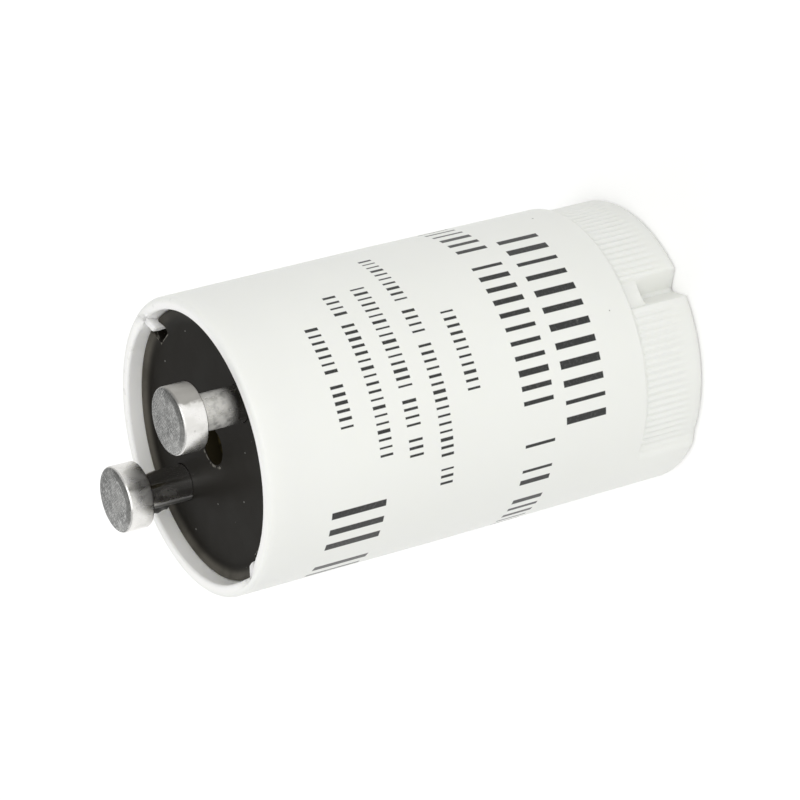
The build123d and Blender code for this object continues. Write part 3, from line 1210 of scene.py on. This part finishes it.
    def notch(self, offset: float, z: float) -> float:
        """Radius of a notch's floor or flank, which runs on outwards past the skin.

        Args:
            offset: angle from the notch's middle, in radians.
            z: height.

        Returns:
            The radius.
        """
        across = self.grip_radius * math.tan(min(abs(offset), 1.0))
        if across > self.notch_half_width + self.notch_clear:
            return self.rim_radius
        slope = across / self.grip_radius
        floor = self.grip_radius - self.notch_depth
        spread = self.notch_half_width - self.notch_floor_half
        share = (slope * floor - self.notch_floor_half) / (spread - slope * self.notch_depth)
        vee = floor + max(share, 0.0) * self.notch_depth
        inside, outside = self.shelf_flank
        flank = smooth_step(across, self.notch_half_width + inside, self.notch_half_width + outside)
        shelf = self.grip_radius - self.shelf_depth + flank * (self.shelf_depth + outside)
        step = self.notch_step
        upper = smooth_step(z, self.notch_height - step, self.notch_height + step)
        return (vee + (shelf - vee) * upper) / math.cos(offset)

    def skin(self, turn_angle: float, z: float) -> float:
        """Outer radius below the shoulder.

        Args:
            turn_angle: degrees round the can.
            z: height.

        Returns:
            The radius.
        """
        depth = self.into_grip(turn_angle)
        barrel = self.barrel(z)
        if depth < 0.0:
            return barrel
        blend = smooth_step(depth, 0.0, self.end_blend)
        if z > self.grip_height - 0.001:
            rise = (z - self.grip_height) / self.shoulder_round
            inset = 1.0 - math.sqrt(max(0.0, 1.0 - (1.0 - rise) ** 2))
            return barrel - blend * self.shoulder_round * inset
        offset = self.from_notch(turn_angle)
        from_edge = self.grip_radius * abs(offset) - self.notch_half_width
        share = smooth_step(from_edge, *self.rib_gap) * smooth_step(depth, *self.rib_ends)
        corner = max(0.0, z - (self.grip_height - self.corner_height)) * self.corner_slope
        grip = self.grip_radius + corner - self.rib(turn_angle, z) * share
        least = soft_least(grip, self.notch(offset, z), self.notch_blend)
        return barrel + (least - barrel) * blend

    def inner(self, turn_angle: float, radius: float) -> float:
        """Inner radius near the floor, with the walls behind the notches.

        Args:
            turn_angle: degrees round the can.
            radius: the plain inner radius.

        Returns:
            The radius.
        """
        across = self.grip_radius * abs(math.sin(self.from_notch(turn_angle)))
        if across > self.notch_half_width + self.back_wall:
            return radius
        wall = self.grip_radius - self.notch_depth - self.back_wall
        return radius - self.well_foot_radius + wall

    def shape_foot(self, bm: bmesh.types.BMesh) -> None:
        """Moves the vertices of the closed end into the grips, ribs and notches.

        Args:
            bm: the can's shape, moved in place.
        """
        shoulder_top = self.grip_height + self.shoulder_round + 0.01
        for vert in bm.verts:
            radius, z = math.hypot(vert.co.x, vert.co.y), vert.co.z
            turn_angle = math.degrees(math.atan2(vert.co.y, vert.co.x))
            if z > shoulder_top or radius < self.plain_radius:
                continue
            if radius > self.skin_limit:
                inset = self.barrel(z) - radius
                wanted = self.skin(turn_angle, max(z, 0.1)) - inset
            elif self.floor_level - 0.01 < z < sum(self.well_levels) / 2:
                wanted = self.inner(turn_angle, radius)
            else:
                continue
            vert.co.x *= wanted / radius
            vert.co.y *= wanted / radius

    def wear_rim(self, bm: bmesh.types.BMesh) -> None:
        """Dents the rim's inner edge where the lugs were staked, and roughens all of it.

        Args:
            bm: the can's shape, moved in place.
        """
        for vert in bm.verts:
            radius = math.hypot(vert.co.x, vert.co.y)
            if vert.co.z < self.dent_level - 0.1 or radius < self.bore_radius - 0.01:
                continue
            turn_angle = math.degrees(math.atan2(vert.co.y, vert.co.x))
            off = (turn_angle - self.dent_angle + 90.0) % 180.0 - 90.0
            staked = math.exp(-((off / self.dent_spread) ** 2))
            near, far = self.dent_reach
            inward = 1.0 - smooth_step(radius, self.bore_radius + near, self.bore_radius + far)
            upper = smooth_step(vert.co.z, self.dent_level, self.height - 0.1)
            rough = noise.noise(vert.co * 3.3) + 0.5 * noise.noise(vert.co * 8.0)
            broad, fine = self.edge_rough
            edge = noise.noise(vert.co * 1.7) * broad + noise.noise(vert.co * 6.0) * fine
            depth, push = (a + b * rough for a, b in (self.dent_depth, self.dent_push))
            vert.co.z -= upper * (staked * inward * depth + max(edge, 0.0))
            wanted = radius + upper * staked * inward * push
            vert.co.x *= wanted / radius
            vert.co.y *= wanted / radius

    def lug(self, way: int) -> bmesh.types.BMesh:
        """One staked lug, as an uneven block that reaches into the wall.

        Args:
            way: 1 for the lug on +Y, and -1 for the one turned opposite to it.

        Returns:
            The lug's shape.
        """
        root = (self.bore_radius + self.rim_radius) / 2
        size = Vector((self.lug_width, root - self.lug_tip, self.lug_top - self.lug_foot))
        middle = Vector((self.lug_side, root + self.lug_tip, self.lug_top + self.lug_foot)) / 2
        middle.x = self.lug_side - self.lug_width / 2
        bm = block(size, middle)
        for vert in bm.verts:
            if vert.co.z > middle.z and vert.co.y < middle.y:
                vert.co.z -= self.lug_slope
        round_edges(bm, bm.edges[:], self.lug_round, 4)
        bmesh.ops.subdivide_edges(bm, edges=bm.edges[:], cuts=2, use_grid_fill=True)
        for vert in bm.verts:
            broad, fine = noise.noise_vector(vert.co * 2.0), noise.noise_vector(vert.co * 6.0)
            vert.co += broad * self.lug_rough[0] + fine * self.lug_rough[1]
        return half_turn(bm, way)

    def build(self, material: bpy.types.Material) -> bpy.types.Object:
        """Builds the can in one piece.

        Args:
            material: its material.

        Returns:
            The can.
        """
        bm = turn(self.section(), self.steps)
        self.shape_foot(bm)
        self.wear_rim(bm)
        for way in (-1, 1):
            join(bm, self.lug(way))
        bmesh.ops.recalc_face_normals(bm, faces=bm.faces)
        piece = as_object(bm, "moulded_can")
        smooth(piece, material)
        place_piece(piece, "case_plastic", "case")
        return piece


@dataclass
class BasePlate:
    """Moulded disc that carries the pins, with its border, keyways and holes."""

    radius: float = 9.72
    underside: float = 32.46
    face: float = 34.46
    border_height: float = 0.34
    border_width: float = 0.22
    border_slope: float = 1.1
    border_round: float = 0.08
    border_sweep: float = 2.4
    border_runs: int = 14
    boss_radius: float = 2.5
    boss_height: float = 1.0
    boss_root: float = 0.2
    pin_x: float = 6.35
    seat_radius: float = 1.37
    seat_depth: float = 0.5
    shank_radius: float = 1.07
    hole_x: float = 0.1
    hole_y: float = -0.25
    hole_radius: float = 1.38
    key_length: float = 1.22
    key_width: float = 1.65
    key_shift: float = 0.18
    key_depth: float = 0.6
    key_round: float = 0.25
    sliver: float = 0.002
    overshoot: float = 1.0
    hole_steps: int = 96
    steps: int = 256

    def disc(self) -> bmesh.types.BMesh:
        """Turned disc whose face sweeps up to its border.

        Returns:
            The disc's shape.
        """
        border_top = self.face + self.border_height
        inner = self.radius - self.border_width
        corners = [
            (0.0, self.underside, 0.0),
            (self.radius, self.underside, 0.0),
            (self.radius, border_top, self.border_round),
            (inner, border_top, self.border_round),
        ]
        section = rounded(corners + [(inner - self.border_slope, self.face, 0.0)], 5)[:-1]
        for step in range(1, self.border_runs + 1):
            share = step / self.border_runs
            rise = self.border_height * (1.0 - share) ** self.border_sweep
            section.append((inner - self.border_slope * share, self.face + rise))
        return turn(section + [(0.0, self.face)], self.steps)

    def rod(self, x: float, y: float, radius: float, low: float, high: float) -> bmesh.types.BMesh:
        """Upright round rod."""
        section = [(0.0, low), (radius, low), (radius, high), (0.0, high)]
        return turn(section, self.hole_steps, (x, y))

    def keyway(self, way: int) -> bmesh.types.BMesh:
        """Block that cuts one blind keyway, its inner upright edges rounded.

        Args:
            way: 1 for the keyway on +Y, and -1 for the one turned opposite to it.

        Returns:
            The cutter.
        """
        over = self.overshoot
        size = Vector((self.key_width, self.key_length + over, self.key_depth + over))
        near = self.radius - self.key_length
        low = self.face - self.key_depth
        bm = block(size, Vector((-self.key_shift, near + size.y / 2, low + size.z / 2)))
        inner = [e for e in bm.edges if all(abs(v.co.y - near) < 1e-4 for v in e.verts)]
        upright = [e for e in inner if abs(e.verts[0].co.z - e.verts[1].co.z) > 0.5]
        round_edges(bm, upright, self.key_round, 5)
        bmesh.ops.recalc_face_normals(bm, faces=bm.faces)
        return half_turn(bm, way)

    def build(self, material: bpy.types.Material) -> bpy.types.Object:
        """Builds the plate in one piece.

        Args:
            material: its material.

        Returns:
            The plate.
        """
        piece = as_object(self.disc(), "base_disc")
        above = self.face + self.overshoot
        below = self.underside - self.boss_height - self.overshoot
        for way in (-1, 1):
            x = way * self.pin_x
            cut(piece, self.keyway(way))
            cut(piece, self.rod(x, 0.0, self.seat_radius, self.face - self.seat_depth, above))
            cut(piece, self.rod(x, 0.0, self.shank_radius, below, above))
        cut(piece, self.rod(self.hole_x, self.hole_y, self.hole_radius, below, above))
        bm = bmesh.new()
        bm.from_mesh(piece.data)
        bmesh.ops.scale(bm, vec=(1 / MM, 1 / MM, 1 / MM), verts=bm.verts)
        bmesh.ops.remove_doubles(bm, verts=bm.verts, dist=self.sliver)
        bmesh.ops.dissolve_degenerate(bm, dist=self.sliver, edges=bm.edges)
        bmesh.ops.holes_fill(bm, edges=bm.edges, sides=0)
        for way in (-1, 1):
            join(bm, self.boss(way * self.pin_x))
        bmesh.ops.scale(bm, vec=(MM, MM, MM), verts=bm.verts)
        bm.to_mesh(piece.data)
        bm.free()
        smooth(piece, material)
        place_piece(piece, "plate_plastic", "base_plate")
        return piece

    def boss(self, x: float) -> bmesh.types.BMesh:
        """Ring under the plate that a pin's shank passes through.

        Args:
            x: place of the pin.

        Returns:
            The ring's shape.
        """
        low, high = self.underside - self.boss_height, self.underside + self.boss_root
        ring = [
            (self.shank_radius, low),
            (self.boss_radius, low),
            (self.boss_radius, high),
            (self.shank_radius, high),
            (self.shank_radius, low),
        ]
        return turn(ring, self.hole_steps, (x, 0.0))


@dataclass
class ContactPin:
    """Turned pin with a flat head, a neck and a riveted end under its solder tag."""

    pin_x: float = 6.35
    top: float = 40.0
    head_radius: float = 2.4
    head_foot: float = 38.08
    edge_round: float = 0.24
    neck_radius: float = 1.32
    seat: float = 33.96
    shank_radius: float = 1.05
    tag_underside: float = 31.06
    rivet_radius: float = 1.65
    rivet_height: float = 0.55
    burr_angle: float = -118.0
    burr_level: float = 36.8
    burr_radius: float = 0.32
    burr_stretch: Place = (0.9, 0.9, 3.0)
    burr_rough: Pair = (0.12, 0.015)
    steps: int = 160

    def section(self) -> list[Pair]:
        """Section of the pin, from the rivet's middle to the middle of its face.

        Returns:
            Radius and height of each point.
        """
        rivet_foot = self.tag_underside - self.rivet_height
        corners = [
            (0.0, rivet_foot, 0.0),
            (self.rivet_radius, rivet_foot, 0.35),
            (self.rivet_radius, self.tag_underside, 0.0),
            (self.shank_radius, self.tag_underside, 0.0),
            (self.shank_radius, self.seat, 0.0),
            (self.neck_radius, self.seat, 0.0),
            (self.neck_radius, self.head_foot, 0.06),
            (self.head_radius, self.head_foot, 0.1),
            (self.head_radius, self.top - 0.01, self.edge_round),
            (self.head_radius * 0.5, self.top, 0.0),
            (0.0, self.top, 0.0),
        ]
        return rounded(corners, 5)

    def burr(self, x: float) -> bmesh.types.BMesh:
        """Torn flake of plating that stands off the neck behind the head.

        Args:
            x: place of the pin.

        Returns:
            The flake's shape.
        """
        bm = bmesh.new()
        bmesh.ops.create_icosphere(bm, subdivisions=4, radius=self.burr_radius)
        bmesh.ops.scale(bm, vec=self.burr_stretch, verts=bm.verts)
        for vert in bm.verts:
            broad, fine = noise.noise_vector(vert.co * 2.5), noise.noise_vector(vert.co * 8.0)
            vert.co += broad * self.burr_rough[0] + fine * self.burr_rough[1]
        around = math.radians(self.burr_angle)
        away = Vector((math.cos(around), math.sin(around), 0.0)) * self.neck_radius
        bmesh.ops.translate(bm, vec=away + Vector((x, 0.0, self.burr_level)), verts=bm.verts)
        return bm

    def build(self, side: Side, material: bpy.types.Material) -> bpy.types.Object:
        """Builds one pin.

        Args:
            side: the pin's side.
            material: its material.

        Returns:
            The pin.
        """
        x = side.value * self.pin_x
        bm = turn(self.section(), self.steps, (x, 0.0))
        if side is Side.LEFT:
            join(bm, self.burr(x))
        word = side.name.lower()
        piece = as_object(bm, "headed_pin_" + word)
        smooth(piece, material, 25.0)
        place_piece(piece, "pin_metal", "contact_pin_" + word)
        return piece


@dataclass
class InnerPieces:
    """Finishes of the pieces inside the can, which keep their solids."""

    nodes: dict[str, bpy.types.Object]

    def dress(self) -> None:
        """Gives each inner piece its finish."""
        tag = InnerMetal("tag_brass", Metal.BRASS, 0.34, (1.0, 0.15, 1.0)).material()
        wire = InnerMetal("lead_wire", Metal.TINNED, 0.3).material()
        electrode = InnerMetal("electrode_wire", Metal.NICKEL, 0.28).material()
        strip = InnerMetal("bimetal_sheet", Metal.STEEL, 0.3, (1.0, 0.2, 1.0)).material()
        finishes = {
            "glow_switch_bulb": BlownGlass().material(),
            "capacitor_body": DippedCoat().material(),
            "fixed_electrode": electrode,
            "bimetal_strip": strip,
        }
        for side in Side:
            word = side.name.lower()
            finishes["solder_tag_" + word] = tag
            finishes["glow_switch_lead_" + word] = wire
            finishes["capacitor_lead_" + word] = wire
        for name, material in finishes.items():
            piece = self.nodes[name]
            piece.data.materials.clear()
            piece.data.materials.append(material)
            LOG.info("%s keeps its solid, finished as %s", name, material.name)


@dataclass(frozen=True)
class SoftBox:
    """Square studio light that points at the starter."""

    name: str
    place: Place
    size: float
    power: float
    colour: Colour = (1.0, 1.0, 1.0)

    def build(self, target: Vector) -> bpy.types.Object:
        """Adds the light.

        Args:
            target: the point that it faces.

        Returns:
            The light's object.
        """
        lamp = bpy.data.lights.new(self.name, "AREA")
        lamp.shape = "SQUARE"
        lamp.size = self.size
        lamp.energy = self.power
        lamp.color = self.colour
        box = bpy.data.objects.new(self.name, lamp)
        box.location = self.place
        box.rotation_euler = (target - Vector(self.place)).to_track_quat("-Z", "Y").to_euler()
        bpy.context.scene.collection.objects.link(box)
        return box


@dataclass
class Studio:
    """Pale floor, soft lights and the camera at the photograph's angle."""

    eye: Place = (0.24202, -0.08723, 0.15430)
    right: Place = (0.338, -0.3893, -0.8568)
    up: Place = (0.4371, 0.8712, -0.2235)
    lens: float = 184.098
    sensor: float = 36.0
    clip: Pair = (0.01, 20.0)
    world_level: float = 0.67
    floor_colour: Colour = (0.86, 0.86, 0.855)
    floor_lift: float = 0.26
    floor_half: float = 4000.0
    target: Place = (0.0, 0.0, 0.02)
    boxes: tuple[SoftBox, ...] = (
        SoftBox("camera_box", (0.68, -0.05, 0.42), 0.6, 1.7, (1.0, 1.0, 0.985)),
        SoftBox("front_box", (0.55, -0.5, 0.32), 0.6, 1.0),
        SoftBox("left_box", (-0.5, -0.1, 0.55), 0.7, 1.5),
    )

    def floor(self) -> bpy.types.Object:
        """Adds the floor, white where the camera or a reflection sees it lit.

        Returns:
            The floor.
        """
        bm = bmesh.new()
        bmesh.ops.create_grid(bm, x_segments=1, y_segments=1, size=self.floor_half)
        piece = as_object(bm, "studio_floor")
        graph = Graph("floor_paper")
        paper = graph.value("ShaderNodeBsdfDiffuse", 0, None, {"Color": (*self.floor_colour, 1.0)})
        lift = graph.value("ShaderNodeEmission", 0, None, {"Strength": self.floor_lift})
        lit = graph.value("ShaderNodeAddShader", 0, None, {0: paper, 1: lift})
        path = graph.add("ShaderNodeLightPath")
        seen = Value(graph, path.outputs["Is Camera Ray"])
        for kind in ("Is Glossy Ray", "Is Transmission Ray"):
            seen = graph.math("MAXIMUM", seen, Value(graph, path.outputs[kind]))
        surface = graph.value("ShaderNodeMixShader", 0, None, {0: seen, 1: paper, 2: lit})
        graph.add("ShaderNodeOutputMaterial", None, {"Surface": surface})
        piece.data.materials.append(graph.material)
        return piece

    def world(self) -> None:
        """Sets an even pale surround."""
        world = bpy.data.worlds.new("studio_surround")
        world.use_nodes = True
        background = world.node_tree.nodes["Background"]
        background.inputs["Color"].default_value = (1.0, 1.0, 1.0, 1.0)
        background.inputs["Strength"].default_value = self.world_level
        bpy.context.scene.world = world

    def camera(self) -> bpy.types.Object:
        """Adds the camera, worked out for a square image.

        Returns:
            The camera's object.
        """
        data = bpy.data.cameras.new("camera")
        data.lens = self.lens
        data.sensor_width = self.sensor
        data.clip_start, data.clip_end = self.clip
        camera = bpy.data.objects.new("camera", data)
        right, up = Vector(self.right).normalized(), Vector(self.up).normalized()
        back = right.cross(up).normalized()
        turned = Matrix((right, back.cross(right), back)).transposed()
        camera.matrix_world = Matrix.Translation(self.eye) @ turned.to_4x4()
        bpy.context.scene.collection.objects.link(camera)
        bpy.context.scene.camera = camera
        return camera

    def build(self) -> None:
        """Sets up the whole studio."""
        self.world()
        self.floor()
        for box in self.boxes:
            box.build(Vector(self.target))
        self.camera()
        bpy.context.scene.view_settings.view_transform = "Standard"
        count = len(self.boxes)
        LOG.info("studio with %d lights, for a square image of %d pixels", count, IMAGE_SIZE)


def main() -> None:
    """Builds the whole scene."""
    logging.basicConfig(level=logging.INFO, format="%(name)s: %(message)s")
    noise.seed_set(NOISE_SEED)
    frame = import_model()
    Studio().build()
    Can().build(CanPlastic().material())
    plate, pin = BasePlate(), ContactPin()
    plate.build(PlatePlastic().material(plate))
    for side in Side:
        pin.build(side, PinMetal().material(pin, side))
    InnerPieces(frame["nodes"]).dress()


if __name__ == "__main__":
    main()
